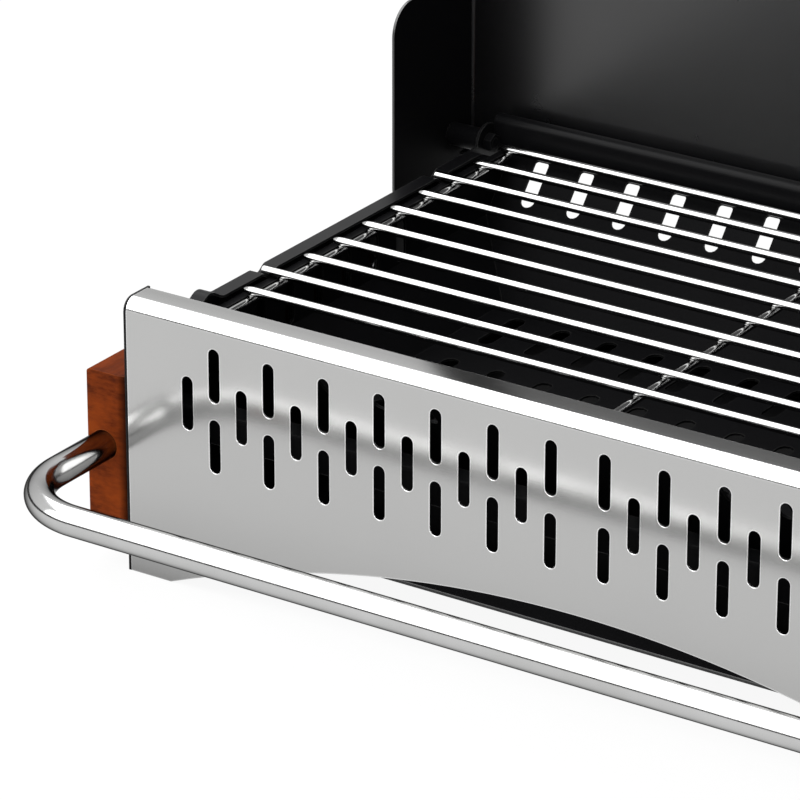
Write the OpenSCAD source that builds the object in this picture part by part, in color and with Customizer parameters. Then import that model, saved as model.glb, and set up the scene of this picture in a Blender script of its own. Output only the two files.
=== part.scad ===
// Folding charcoal grill: a low steel case on four feet, with a bowl for the coals,
// a wire grate, an ash tray that slides out at the back, a U-shaped carrying handle
// between two wooden blocks, and a lid that shuts flush with the front panel.
// Front is towards -Y. Rest pose: lid open at a right angle, ash tray pushed in.

/* [Case] */
// Width of the front panel, which is the space between the side plates
case_w = 450; // [430:5:520]
// Height of the case over the shut lid
case_h = 126.4; // [124:0.2:132]
// Depth from the front panel's face to the back edges of the side plates
case_d = 293; // [290:1:300]
// Thickness of the steel sheet
sheet = 1.2; // [1:0.1:1.4]
// Outer radius of the bend along the front panel's top
bend_r = 6; // [4:0.5:8]
// Depth of the front panel's top flange
flange_d = 17.5; // [15:0.5:20]
// Height of the return behind the top flange
return_h = 8.5; // [5.5:0.5:12.5]
// Radius of the bend between top flange and return
return_r = 2; // [1.8:0.1:3]
// Half width of the arch in the front panel's bottom edge
arch_half_w = 204; // [150:1:208]
// Height of the arch in the front panel's bottom edge
arch_h = 39.2; // [22:0.2:43]

/* [Front slots] */
// Width of a slot
slot_w = 5.6; // [4:0.1:7]
// Length of a slot
slot_l = 24.7; // [17:0.1:26]
// Distance between slots in a row
slot_pitch = 27.8; // [24:0.1:28]
// Distance of the first slot from the middle of the panel
slot_first_x = 12.7; // [8:0.1:14]
// Slots in each row on each half
slot_count = 7; // [4:1:7]
// Drop of the upper row's middle from the case's top
slot_top_drop = 24.6; // [22:0.1:28]
// Drop of the middle row's middle from the case's top
slot_mid_drop = 40.2; // [37:0.1:43.5]
// Drop of the lower row's middle from the case's top
slot_low_drop = 57; // [54.5:0.1:61]

/* [Side plates] */
// Drop of the side plates' top rail from the case's top
rail_drop = 18.5; // [16.5:0.5:21.5]
// Width of the rail's inward flange
rail_flange_w = 6; // [4:0.5:7]
// Height of the hump in the rail
hump_h = 4.4; // [0:0.1:6.5]
// Start of the hump behind the front face
hump_y = 42; // [30:1:50]
// Length of the hump
hump_l = 22; // [14:1:26]
// Length of each foot along the side
foot_l = 34; // [20:1:50]
// Width of each foot's inward flange
foot_w = 12; // [8:0.5:16]
// Height of the arch between the feet
side_arch_h = 13; // [6:0.5:13.5]
// Width of a vent in a side plate
vent_w = 8; // [5:0.5:10]
// Length of a vent in a side plate
vent_l = 20.7; // [13:0.1:20.7]
// Drop of the vents' middle from the rail
vent_drop = 31; // [30.5:0.5:33.5]
// Place of the first vent behind the front face
vent_first_y = 51.5; // [40:0.5:54]
// Distance of the last vent from the side plates' back edges
vent_back_gap = 109.5; // [105:0.5:120]
// Vents in each side plate
vent_count = 7; // [3:1:7]

/* [Wooden blocks and handle] */
// Thickness of a wooden block
block_w = 20.3; // [18:0.1:26]
// Distance from the blocks' back ends to the side plates' back edges
block_back_gap = 95; // [93:1:130]
// Height of a block's lower face
block_z = 15.3; // [14.3:0.1:22]
// Drop of the blocks' upper faces from the case's top
block_drop = 36.5; // [36.5:0.5:43]
// Radius on a block's long edges
block_edge_r = 1.5; // [0.5:0.5:3]
// Diameter of the handle tube
tube_d = 13.4; // [11:0.1:15]
// Wall of the handle tube
tube_wall = 1.5; // [1:0.1:2]
// Height of the handle's middle
tube_z = 56; // [50:0.5:61]
// Reach of the handle's middle in front of the panel
handle_reach = 69.3; // [50:0.1:90]
// Radius of the handle's bends, at the middle of the tube
handle_bend_r = 36; // [20:1:40]
// Distance of the arms outwards from the middle of the blocks
arm_offset = 1.8; // [0:0.2:1.8]
// Depth of the handle's arms in the blocks
arm_depth = 60; // [40:1:80]
// Diameter of a block screw's shank
screw_d = 4; // [3:0.5:5]
// Diameter of a block screw's head
screw_head_d = 8; // [6:0.5:9]

/* [Bowl] */
// Height of the bowl's floor, underneath
bowl_z = 48; // [46:0.5:56]
// Distance of the bowl's side walls from the side plates
bowl_side_gap = 9; // [9:0.5:12]
// Depth of the upright part of the bowl's side walls
bowl_wall_h = 26; // [22:0.5:30]
// Angle of the bowl's slopes from level
bowl_slope = 49.4; // [42:0.2:60]
// Width of the slots in the bowl
bowl_slot_w = 7.4; // [4:0.1:8]
// Length of the slots in the bowl's slopes
bowl_slot_l = 23; // [13:0.5:25]
// Distance between slots across the bowl
bowl_slot_pitch = 24.6; // [20:0.1:26]

/* [Ash tray] */
// Height of the tray's floor, underneath
tray_z = 17.5; // [11:0.5:21]
// Depth of the tray
tray_h = 20.4; // [15:0.1:21.5]
// Distance of the tray's front behind the panel's face
tray_front_y = 21; // [16:1:26]
// Radius of the tray's bottom bends
tray_r = 3; // [2:0.5:8]
// Width of the tray's rim on each side
tray_rim_w = 11.5; // [8:0.5:12]

/* [Grate] */
// Diameter of a bar
bar_d = 4.2; // [3.3:0.1:4.2]
// Place of the front bar behind the front face
bar_first_y = 48.5; // [46:0.5:50]
// Place of the second bar behind the front face
bar_second_y = 74.9; // [72:0.1:76]
// Distance of the last bar from the side plates' back edges
bar_back_gap = 12; // [11:0.5:14]
// Bars in the grate
bar_count = 11; // [11:1:11]
// Short bars in front of the first long bar
before_long_count = 2; // [2:1:3]
// Short bars between the two long bars
between_long_count = 5; // [3:1:5]
// Diameter of a cross wire under the bars
wire_d = 3.5; // [3:0.1:3.6]
// Distance of the middle cross wire from the middle of the case
wire_mid_x = -18; // [-60:1:60]

/* [Lid] */
// Distance from the side plates' back edges to the open lid's outer face
lid_stand = 8.2; // [8:0.1:9]
// Distance of the pivots from the lid's outer face
pivot_inset = 18.5; // [18.2:0.1:19]
// Distance of the pivots from the lid's hinged edge
lid_drop = 10; // [9:0.1:10.5]
// Gap between the shut lid and the side plates' heads
lid_gap = 0.8; // [0.5:0.1:1.5]
// Depth of the lid's side walls
lid_wall_d = 33; // [20:0.5:33]
// Depth of the hinge wings
wing_d = 66.6; // [50:0.1:67]
// Height of the hinge wings over the pivots of the open lid
wing_h = 75.4; // [54:0.1:75.4]
// Radius of the wings' free corner
wing_r = 14.6; // [13:0.1:30]
// Radius of the lid's upright bends
lid_bend_r = 3; // [2:0.5:4]
// Diameter of a pivot bolt
pivot_d = 5; // [4:0.5:5]
// Radius of the round ears that carry the pivots
ear_r = 9; // [8:0.5:10]

/* [Hidden] */

// Overrun of every cut past the face it goes through
over = 1;
// Steps in a quarter of a small bend, in the slots, in a bend of the tray, in a wide arc and in a wave
bend_steps = 6;
slot_steps = 8;
bowl_slot_steps = 4;
tray_steps = 3;
arc_steps = 40;
wave_steps = 12;
$fn = 48;

// Clearances
fit = 0.05;
seat_gap = 0.1;
slide_gap = 0.3;
rest_gap = 0.3;

// Places that follow from the case
half_w = case_w / 2;
plate_x = half_w + sheet;
block_x = plate_x + block_w;
head_d = flange_d + lid_gap / 2;
tube_x = plate_x + block_w / 2 + arm_offset;

// Heights and lengths that follow from the case
rail_z = case_h - rail_drop;
slot_rows = [case_h - slot_top_drop, case_h - slot_mid_drop, case_h - slot_low_drop];
vent_z = rail_z - vent_drop;
vent_pitch = (case_d - vent_back_gap - vent_first_y) / (vent_count - 1);
block_l = case_d - block_back_gap;
block_top_z = case_h - block_drop;

// Lid and pivots
lid_back = case_d + lid_stand;
pivot_y = lid_back - pivot_inset;
pivot_z = case_h - pivot_inset;
lid_low = pivot_z - lid_drop;
lid_shut_front = head_d + lid_gap;
lid_top = pivot_z + pivot_y - lid_shut_front;
wing_low = pivot_z - pivot_inset + rest_gap;
wing_top = pivot_z + wing_h;
lid_x = block_x;
// The front lip ends just above the rail, so the shut lid rests there
lid_lip_d = case_h - rail_z - rest_gap;
// Foot of the open lid, which stops on the side plates' tabs
lid_foot_d = 4.8;
wing_corner_r = 5;

// Stop tabs of the side plates
tab_l = 6;
tab_front_y = case_d - tab_l;
tab_back_y = lid_back - sheet - 2 * rest_gap;
tab_x = lid_x - sheet - rail_flange_w / 4;

// Middle of the part along Y, with the handle in front and the open lid behind
handle_front = -handle_reach - tube_d / 2;
frame_y = -(handle_front + lid_back) / 2;

// Grate: the long bars sit in dips of the rail
dip_d = 2.85;
dip_l = 12;
bar_z = rail_z - dip_d + seat_gap + bar_d / 2;
bar_tip_gap = 7.8;
long_tip_gap = 1.4;
long_bars = [before_long_count, before_long_count + between_long_count + 1];
bar_half = half_w - bar_tip_gap;
long_half = half_w - long_tip_gap;
wire_z = bar_z - bar_d / 2 - fit - wire_d / 2;
wire_edge_inset = 4.6;
wire_end = 2.2;
bar_last_y = case_d - bar_back_gap;
bar_pitch = (bar_last_y - bar_second_y) / (bar_count - 2);

// Bowl: its rim lies just under the bars, and its back edge under the rear rail
rim_gap = 0.45;
rim_z = bar_z - bar_d / 2 - rim_gap;
rim_side_w = 2.7;
rim_end_w = 3;
rim_front_gap = 7;
rim_front_y = flange_d + rim_front_gap;
rim_back_gap = 2;
rim_back_y = case_d - rim_back_gap;
bowl_x = half_w - bowl_side_gap;
knee_z = rim_z - bowl_wall_h;
floor_x = bowl_x - (knee_z - bowl_z) / tan(bowl_slope);
slope_run = (rim_z - sheet - bowl_z) / tan(bowl_slope);
bowl_front_y = rim_front_y + rim_end_w;
bowl_back_y = rim_back_y - rim_end_w;
rim_x = bowl_x + rim_side_w;
bowl_slot_drop = 2.2;
bowl_slot_corner = 1.5;
floor_slot_l = 34;
floor_rows = 3;

// Ledges that carry the bowl's rim
ledge_z = rim_z - sheet - seat_gap;
ledge_gap = 1;
ledge_x = bowl_x + ledge_gap;
ledge_web_h = 8;
ledge_end = 2;
ledge_back_gap = 5;
ledge_back_y = pivot_y - ledge_back_gap;

// Ash tray and its runners
tray_top = tray_z + tray_h;
tray_sheet = 1;
tray_back_gap = 8;
runner_z = tray_top - tray_sheet - slide_gap;
runner_lip_gap = 0.8;
runner_w = 22;
tray_side_gap = 3.5;
tray_x = half_w - runner_w - tray_side_gap;
pan_x = tray_x - tray_sheet;
tray_out_x = tray_x + tray_rim_w;
tray_back_y = case_d - tray_back_gap;
runner_front_y = tray_front_y - 2 * tray_rim_w / 3;

// Rear rail
rear_rail_d = 5.2;
rear_rail_h = 13.6;
rear_rail_gap = 1.2;
rear_rail_r = 3.5;
rear_rail_back = case_d - rest_gap;
rear_rail_front = rear_rail_back - rear_rail_d;
rear_rail_low = rim_z + rear_rail_gap;
rear_rail_top = rear_rail_low + rear_rail_h;

// Front cross rail
cross_rail_y = 12;
cross_rail_d = 12;
cross_rail_drop = 48.4;
cross_rail_top = case_h - cross_rail_drop;
cross_rail_h = 14.2;

// Screws of the blocks
screw_front_y = 32;
screw_back_gap = 10;
screw_edge_gap = 12;
screw_head_h = 2.2;
screw_depth = 14;

// Pins that hold the handle's arms
pin_d = 4;
pin_y = 45;
pin_wall = 1.4;

// Pivot hardware
head_r = 5;
head_h = 2.5;
washer_t = 0.8;
washer_r = 6;
nut_flat = 8;
nut_h = 4;
spacer_r = 5.5;

// Pull of the ash tray
pull_w = 80;
pull_h = 12;
pull_reach = 10;
pull_lip = 5;
rivet_d = 4;
rivet_head_d = 7;
rivet_head_h = 1.2;
rivet_x = 28;

// Colours
steel_grey = [0.76, 0.76, 0.75];
bright_steel = [0.85, 0.86, 0.88];
black_paint = [0.06, 0.06, 0.06];
red_wood = [0.45, 0.18, 0.07];

// Points of an arc about c from angle a to angle b
function arc(c, r, a, b, n = bend_steps) =
    [for (i = [0:n]) c + r * [cos(a + (b - a) * i / n), sin(a + (b - a) * i / n)]];

// Points of an arch of half width w and height h, centred on x
function arch(x, w, h) =
    let (r = (w * w + h * h) / (2 * h))
    [for (i = [0:arc_steps])
        let (u = -w + 2 * w * i / arc_steps)
        [x + u, sqrt(r * r - u * u) - r + h]];

// Points of a smooth hump, or of a dip where h is negative
function wave(y, l, z, h) =
    [for (i = [0:wave_steps])
        [y + l * i / wave_steps, z + h * (1 - cos(360 * i / wave_steps)) / 2]];

// Outline of a slot of width w and length l, upright, with n steps in each round end
function slot_points(w, l, n = bowl_slot_steps) = concat(
    arc([0, (l - w) / 2], w / 2, 0, 180, n),
    arc([0, (w - l) / 2], w / 2, 180, 360, n));

// Outline of a rectangle from a to b with rounded corners
function round_rect(a, b, r) = concat(
    arc([b[0] - r, b[1] - r], r, 0, 90),
    arc([a[0] + r, b[1] - r], r, 90, 180),
    arc([a[0] + r, a[1] + r], r, 180, 270),
    arc([b[0] - r, a[1] + r], r, 270, 360));

// Place of a bar behind the front face
function bar_y(i) = i == 0 ? bar_first_y : bar_second_y + (i - 1) * bar_pitch;

// Top line of the side plates' rail from front to back, with its hump and its dips
function rail_line(back) = concat(
    [[head_d, rail_z]],
    wave(hump_y, hump_l, rail_z, hump_h),
    [for (b = long_bars) each wave(bar_y(b) - dip_l / 2, dip_l, rail_z, -dip_d)],
    [[back, rail_z]]);

// An outline in Y and Z drawn out along X
module along_x(x0, x1) {
    translate([x0, 0, 0]) rotate([90, 0, 90]) linear_extrude(height = x1 - x0) children();
}

// An outline in X and Z drawn out along Y
module along_y(y0, y1) {
    translate([0, y1, 0]) rotate([90, 0, 0]) linear_extrude(height = y1 - y0) children();
}

// A box between two corners
module block(a, b) {
    translate(a) cube(b - a);
}

// A rod along X between two ends, its ends rounded over
module rod_x(x0, x1, r) {
    tip = r / 2;
    translate([x0, 0, 0]) rotate([0, 90, 0]) rotate_extrude() polygon(concat(
        [[0, 0]],
        arc([r - tip, tip], tip, -90, 0),
        arc([r - tip, x1 - x0 - tip], tip, 0, 90),
        [[0, x1 - x0]]));
}

// A plain round along X
module round_x(x0, x1, r) {
    translate([x0, 0, 0]) rotate([0, 90, 0]) cylinder(h = x1 - x0, r = r);
}

// A plain round along Y
module round_y(y0, y1, r) {
    translate([0, y0, 0]) rotate([-90, 0, 0]) cylinder(h = y1 - y0, r = r);
}

// Moves a piece from the front panel's frame to the part's frame
module placed() {
    translate([0, frame_y, 0]) children();
}

// The right-hand piece as drawn, or its mirror image on the left
module handed(side) {
    placed() mirror([side < 0 ? 1 : 0, 0, 0]) children();
}

// Front panel: flat face, rounded top bend, flange and return
function panel_profile() = concat(
    [[0, 0]],
    arc([bend_r, case_h - bend_r], bend_r, 180, 90),
    arc([flange_d - return_r, case_h - return_r], return_r, 90, 0),
    [[flange_d, case_h - return_h], [flange_d - sheet, case_h - return_h]],
    arc([flange_d - return_r, case_h - return_r], return_r - sheet, 0, 90),
    arc([bend_r, case_h - bend_r], bend_r - sheet, 90, 180),
    [[sheet, 0]]);

module front_slot(x, z) {
    translate([x, 0, z]) along_y(-over, sheet + over) polygon(slot_points(slot_w, slot_l, slot_steps));
}

module front_panel() {
    color(steel_grey) placed() difference() {
        along_x(-half_w, half_w) polygon(panel_profile());
        along_y(-over, sheet + over) polygon(concat(
            [[-arch_half_w, -over]], arch(0, arch_half_w, arch_h), [[arch_half_w, -over]]));
        for (side = [-1, 1], i = [0:slot_count - 1]) {
            front_slot(side * (slot_first_x + i * slot_pitch), slot_rows[0]);
            front_slot(side * (slot_first_x + (i + 0.5) * slot_pitch), slot_rows[1]);
            front_slot(side * (slot_first_x + i * slot_pitch), slot_rows[2]);
        }
    }
}

// Side plate: outline with head, rail, ear and two feet
function side_profile() =
    let (rise = rail_z - pivot_z, ear_front = sqrt(ear_r * ear_r - rise * rise))
    concat(
        [[0, 0]],
        arc([bend_r, case_h - bend_r], bend_r, 180, 90),
        [[head_d, case_h]],
        rail_line(pivot_y - ear_front),
        arc([pivot_y, pivot_z], ear_r, 180 - asin(rise / ear_r), 0, 2 * bend_steps),
        [[case_d, pivot_z - ear_r / 2], [case_d, 0]],
        [for (p = arch(case_d / 2, case_d / 2 - foot_l, side_arch_h)) [case_d - p[0], p[1]]]);

screw_places = [
    [screw_front_y, block_z + screw_edge_gap], [screw_front_y, block_top_z - screw_edge_gap],
    [block_l - screw_back_gap, block_z + screw_edge_gap],
    [block_l - screw_back_gap, block_top_z - screw_edge_gap]];

module side_plate(side) {
    flange_back = pivot_y - ear_r - rail_flange_w;
    top_line = rail_line(flange_back);
    count = len(top_line);
    color(black_paint) handed(side) {
        difference() {
            union() {
                along_x(half_w, plate_x) polygon(side_profile());
                along_x(half_w - rail_flange_w, half_w + fit) polygon(concat(top_line,
                    [for (i = [1:count]) top_line[count - i] - [0, sheet]]));
                block([half_w - foot_w, sheet, bend_r], [half_w + fit, 2 * sheet, rail_z]);
                block([half_w - foot_w, 2 * sheet, 0], [half_w + fit, foot_l, sheet]);
                block([half_w - foot_w, case_d - foot_l, 0], [half_w + fit, case_d, sheet]);
                block([plate_x - fit, tab_front_y, lid_low - rest_gap - sheet],
                    [tab_x, tab_back_y, lid_low - rest_gap]);
            }
            for (i = [0:vent_count - 1]) {
                translate([0, vent_first_y + i * vent_pitch, vent_z])
                    along_x(half_w - over, plate_x + over) polygon(slot_points(vent_w, vent_l));
            }
            for (p = screw_places) {
                translate([0, p[0], p[1]]) round_x(half_w - over, plate_x + over, screw_d / 2 + fit);
            }
            translate([0, pivot_y, pivot_z]) round_x(half_w - over, plate_x + over, pivot_d / 2 + fit);
        }
    }
}

// Rear rail: a bent channel, open downwards, with a soft front edge
module rear_rail() {
    f = rear_rail_front;
    b = rear_rail_back;
    t = rear_rail_top;
    color(black_paint) placed() along_x(-half_w, half_w) polygon(concat(
        [[f, rear_rail_low]],
        arc([f + rear_rail_r, t - rear_rail_r], rear_rail_r, 180, 90),
        [[b, t], [b, rear_rail_low], [b - sheet, rear_rail_low], [b - sheet, t - sheet]],
        arc([f + rear_rail_r, t - rear_rail_r], rear_rail_r - sheet, 90, 180),
        [[f + sheet, rear_rail_low]]));
}

// Front cross rail: an angle behind the front panel
module front_cross_rail() {
    y = cross_rail_y;
    t = cross_rail_top;
    color(black_paint) placed() along_x(-half_w, half_w) polygon(concat(
        [[y, t - cross_rail_h]],
        arc([y + return_r, t - return_r], return_r, 180, 90),
        [[y + cross_rail_d, t], [y + cross_rail_d, t - sheet]],
        arc([y + return_r, t - return_r], return_r - sheet, 90, 180),
        [[y + sheet, t - cross_rail_h]]));
}

// Bowl ledge: an angle on the side plate, under the bowl's rim
module bowl_ledge(side) {
    color(black_paint) handed(side) along_y(rim_front_y - ledge_end, ledge_back_y) polygon([
        [half_w, ledge_z - ledge_web_h], [half_w, ledge_z], [ledge_x, ledge_z],
        [ledge_x, ledge_z - sheet], [half_w - sheet, ledge_z - sheet],
        [half_w - sheet, ledge_z - ledge_web_h]]);
}

// Tray runner: a channel on the side plate that holds the tray's rim
module tray_runner(side) {
    web_x = half_w - sheet;
    in_x = half_w - runner_w;
    top = tray_top + runner_lip_gap + sheet;
    color(black_paint) handed(side) along_y(runner_front_y, tray_back_y + ledge_end) polygon([
        [half_w, runner_z - sheet], [half_w, top], [in_x, top], [in_x, top - sheet],
        [web_x, top - sheet], [web_x, runner_z], [in_x, runner_z], [in_x, runner_z - sheet]]);
}

// Wooden block: bored for a handle arm, its cross pin and its screws
module wood_block(side) {
    color(red_wood) handed(side) difference() {
        along_y(0, block_l)
            polygon(round_rect([plate_x, block_z], [block_x, block_top_z], block_edge_r));
        translate([tube_x, 0, tube_z]) round_y(-over, arm_depth + over, tube_d / 2 + fit);
        translate([0, pin_y, tube_z])
            round_x(plate_x - over, block_x - pin_wall, pin_d / 2 + fit);
        for (p = screw_places) {
            translate([0, p[0], p[1]])
                round_x(plate_x - over, plate_x + screw_depth + over, screw_d / 2 + fit);
        }
    }
}

// Screws from inside the case into both blocks
module block_screws() {
    color(bright_steel) for (side = [-1, 1]) {
        handed(side) for (p = screw_places) {
            translate([half_w, p[0], p[1]]) rotate([0, 90, 0]) rotate_extrude() polygon(concat(
                [[0, -screw_head_h]],
                arc([screw_head_d / 2 - screw_head_h / 2, -screw_head_h / 2], screw_head_h / 2, -90, 0),
                [[screw_head_d / 2, 0], [screw_d / 2, 0], [screw_d / 2, screw_depth - screw_d / 2],
                    [0, screw_depth]]));
        }
    }
}

// Handle: one tube with two bends, its ends open inside the blocks
module tube_ring() {
    difference() {
        circle(r = tube_d / 2);
        circle(r = tube_d / 2 - tube_wall);
    }
}

module handle_half() {
    run = tube_x - handle_bend_r;
    translate([0, -handle_reach, tube_z]) rotate([0, 90, 0]) linear_extrude(height = run) tube_ring();
    translate([run, handle_bend_r - handle_reach, tube_z]) rotate([0, 0, -90])
        rotate_extrude(angle = 90) translate([handle_bend_r, 0]) tube_ring();
    difference() {
        translate([tube_x, handle_bend_r - handle_reach, tube_z]) rotate([-90, 0, 0])
            linear_extrude(height = arm_depth + handle_reach - handle_bend_r) tube_ring();
        translate([0, pin_y, tube_z])
            round_x(plate_x - over, block_x - pin_wall, pin_d / 2 + fit);
    }
}

module handle_tube() {
    color(bright_steel) placed() {
        handle_half();
        mirror([1, 0, 0]) handle_half();
    }
}

// Cross pins that hold the handle's arms in the blocks
module handle_pins() {
    color(bright_steel) for (side = [-1, 1]) {
        handed(side) translate([0, pin_y, tube_z])
            round_x(plate_x + seat_gap, block_x - pin_wall - seat_gap, pin_d / 2);
    }
}

// Cross section of the bowl's side, from the rim down to the floor, drawn in by t
function bowl_side_points(t, top) =
    let (a = bowl_slope)
    [[bowl_x - t, top], [bowl_x - t, knee_z + t * (1 - sin(a)) / cos(a)],
        [floor_x - t * (1 - cos(a)) / sin(a), bowl_z + t]];

// Cross section of the bowl from front to back, drawn in by t
function bowl_long_points(t, top) =
    let (a = bowl_slope, level = rim_z - sheet, in_x = t / sin(a), up = (top - level) / tan(a))
    [[bowl_front_y + in_x - up, top],
        [bowl_front_y + slope_run + t * (1 - cos(a)) / sin(a), bowl_z + t],
        [bowl_back_y - slope_run - t * (1 - cos(a)) / sin(a), bowl_z + t],
        [bowl_back_y - in_x + up, top]];

module bowl_space(t, top) {
    side = bowl_side_points(t, top);
    intersection() {
        along_y(bowl_front_y - rim_side_w, bowl_back_y + rim_side_w) polygon(concat(side,
            [for (i = [1:len(side)]) [-side[len(side) - i][0], side[len(side) - i][1]]]));
        along_x(-half_w, half_w) polygon(bowl_long_points(t, top));
    }
}

// A slot through one of the bowl's end slopes: round below, nearly square under the rim
module bowl_end_slot(x, y, turn) {
    w = bowl_slot_w / 2;
    c = bowl_slot_corner;
    translate([x, y, rim_z - sheet]) rotate([turn, 0, 0]) translate([0, -bowl_slot_drop, 0])
        linear_extrude(height = 4 * sheet, center = true) polygon(concat(
            arc([w - c, -c], c, 0, 90, bowl_slot_steps),
            arc([c - w, -c], c, 90, 180, bowl_slot_steps),
            arc([0, w - bowl_slot_l], w, 180, 360, 2 * bowl_slot_steps)));
}

module charcoal_bowl() {
    across = floor((bowl_x - bowl_slot_w) / bowl_slot_pitch);
    floor_across = floor((floor_x - bowl_slot_w) / bowl_slot_pitch);
    floor_front = bowl_front_y + slope_run;
    floor_l = bowl_back_y - bowl_front_y - 2 * slope_run;
    color(black_paint) placed() difference() {
        union() {
            bowl_space(0, rim_z - sheet / 2);
            block([-rim_x, rim_front_y, rim_z - sheet], [rim_x, rim_back_y, rim_z]);
        }
        bowl_space(sheet, rim_z + over);
        for (i = [-across:across]) {
            bowl_end_slot(i * bowl_slot_pitch, bowl_front_y, 180 - bowl_slope);
            bowl_end_slot(i * bowl_slot_pitch, bowl_back_y, bowl_slope);
        }
        for (i = [-floor_across:floor_across], j = [1:floor_rows]) {
            translate([i * bowl_slot_pitch, floor_front + floor_l * (j - 0.5) / floor_rows, bowl_z])
                linear_extrude(height = 4 * sheet, center = true)
                    polygon(slot_points(bowl_slot_w, floor_slot_l));
        }
        for (side = [-1, 1], i = [0:vent_count]) {
            translate([side * bowl_x, vent_first_y + (i - 0.5) * vent_pitch, (rim_z + knee_z) / 2 - sheet])
                along_x(-2 * sheet, 2 * sheet)
                    polygon(slot_points(bowl_slot_w, bowl_wall_h - 4 * sheet));
        }
    }
}

// Ash tray: floor, front and back folded from one sheet, with rounded bends
function tray_profile() =
    let (r = tray_r, low = tray_z + r, front = tray_front_y, back = tray_back_y)
    concat(
        [[front, tray_top]],
        arc([front + r, low], r, 180, 270, tray_steps),
        arc([back - r, low], r, 270, 360, tray_steps),
        [[back, tray_top], [back - tray_sheet, tray_top]],
        arc([back - r, low], r - tray_sheet, 360, 270, tray_steps),
        arc([front + r, low], r - tray_sheet, 270, 180, tray_steps),
        [[front + tray_sheet, tray_top]]);

module ash_tray() {
    color(black_paint) placed() difference() {
        along_x(-pan_x, pan_x) polygon(tray_profile());
        for (side = [-1, 1]) {
            translate([side * rivet_x, 0, pull_z])
                round_y(tray_back_y - 2 * tray_sheet, tray_back_y + over, rivet_d / 2 + fit);
        }
    }
}

// Side rails of the tray: an angle on each open side, whose rim runs in the runner
module tray_side_rails() {
    color(black_paint) for (side = [-1, 1]) {
        handed(side) along_y(tray_front_y, tray_back_y) polygon([
            [pan_x, tray_z], [pan_x, tray_top], [tray_out_x, tray_top],
            [tray_out_x, tray_top - tray_sheet], [tray_x, tray_top - tray_sheet], [tray_x, tray_z]]);
    }
}

// Pull on the tray's back: a finger lip riveted to the wall
pull_z = tray_z + tray_h / 2;
pull_top = pull_z + pull_h / 2;

module ash_tray_pull() {
    y = tray_back_y;
    color(black_paint) placed() difference() {
        along_x(-pull_w / 2, pull_w / 2) polygon(concat(
            [[y, pull_z - pull_h / 2], [y, pull_top], [y + pull_reach - return_r, pull_top]],
            arc([y + pull_reach - return_r, pull_top - return_r], return_r, 90, 0),
            [[y + pull_reach, pull_top - pull_lip], [y + pull_reach - sheet, pull_top - pull_lip],
                [y + pull_reach - sheet, pull_top - sheet], [y + sheet, pull_top - sheet],
                [y + sheet, pull_z - pull_h / 2]]));
        for (side = [-1, 1]) {
            translate([side * rivet_x, 0, pull_z]) round_y(y - over, y + sheet + over, rivet_d / 2 + fit);
        }
    }
}

module pull_rivets() {
    y = tray_back_y;
    color(bright_steel) placed() for (side = [-1, 1]) {
        translate([side * rivet_x, 0, pull_z]) {
            translate([0, y + sheet, 0]) rotate([-90, 0, 0]) rotate_extrude() polygon([
                [0, -sheet - tray_sheet - rivet_head_h], [rivet_d * 0.8, -sheet - tray_sheet - rivet_head_h],
                [rivet_d * 0.8, -sheet - tray_sheet], [rivet_d / 2, -sheet - tray_sheet],
                [rivet_d / 2, 0], [rivet_head_d / 2, 0], [rivet_head_d / 2, rivet_head_h / 2],
                [rivet_head_d / 4, rivet_head_h], [0, rivet_head_h]]);
        }
    }
}

// Grate: short bars, long bars that reach the rails, and cross wires under them
module grate_bars() {
    color(bright_steel) placed() for (i = [0:bar_count - 1]) {
        if (len(search(i, long_bars)) == 0) {
            translate([0, bar_y(i), bar_z]) rod_x(-bar_half, bar_half, bar_d / 2);
        }
    }
}

module grate_long_bars() {
    color(bright_steel) placed() for (i = long_bars) {
        translate([0, bar_y(i), bar_z]) rod_x(-long_half, long_half, bar_d / 2);
    }
}

module grate_cross_wires() {
    edge = bar_half - wire_edge_inset;
    color(bright_steel) placed() for (x = [-edge, wire_mid_x, edge]) {
        translate([x, 0, wire_z]) rotate([0, 0, 90])
            rod_x(bar_first_y - wire_end, bar_last_y + wire_end, wire_d / 2);
    }
}

// Lid, drawn open: back panel, side walls, hinge wings, front lip and foot
module lid_shell() {
    back = lid_back;
    top = lid_top;
    r = lid_bend_r;
    wall_front = back - lid_wall_d;
    inner = sheet / 2;
    color(black_paint) placed() difference() {
        union() {
            translate([0, 0, lid_low]) linear_extrude(height = top - lid_low) polygon(concat(
                [[lid_x, wall_front]],
                arc([lid_x - r, back - r], r, 0, 90),
                arc([r - lid_x, back - r], r, 90, 180),
                [[-lid_x, wall_front], [sheet - lid_x, wall_front]],
                arc([r - lid_x, back - r], r - sheet, 180, 90),
                arc([lid_x - r, back - r], r - sheet, 90, 0),
                [[lid_x - sheet, wall_front]]));
            for (side = [-1, 1]) {
                mirror([side < 0 ? 1 : 0, 0, 0]) along_x(lid_x - sheet, lid_x) polygon(concat(
                    [[back - r, wing_low]],
                    arc([back - wing_d + wing_corner_r, wing_low + wing_corner_r], wing_corner_r, 270, 180),
                    arc([back - wing_d + wing_r, wing_top - wing_r], wing_r, 180, 90, 2 * bend_steps),
                    [[back - r, wing_top]]));
            }
            block([inner - lid_x, back - lid_lip_d, top - sheet], [lid_x - inner, back - r, top]);
            block([inner - lid_x, back - lid_foot_d, lid_low], [lid_x - inner, back - r, lid_low + sheet]);
            block([r - lid_x, back - r, top - sheet], [lid_x - r, back - inner, top]);
            block([r - lid_x, back - r, lid_low], [lid_x - r, back - inner, lid_low + sheet]);
        }
        translate([0, pivot_y, pivot_z]) {
            round_x(-lid_x - over, sheet + over - lid_x, pivot_d / 2 + fit);
            round_x(lid_x - sheet - over, lid_x + over, pivot_d / 2 + fit);
        }
    }
}

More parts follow.
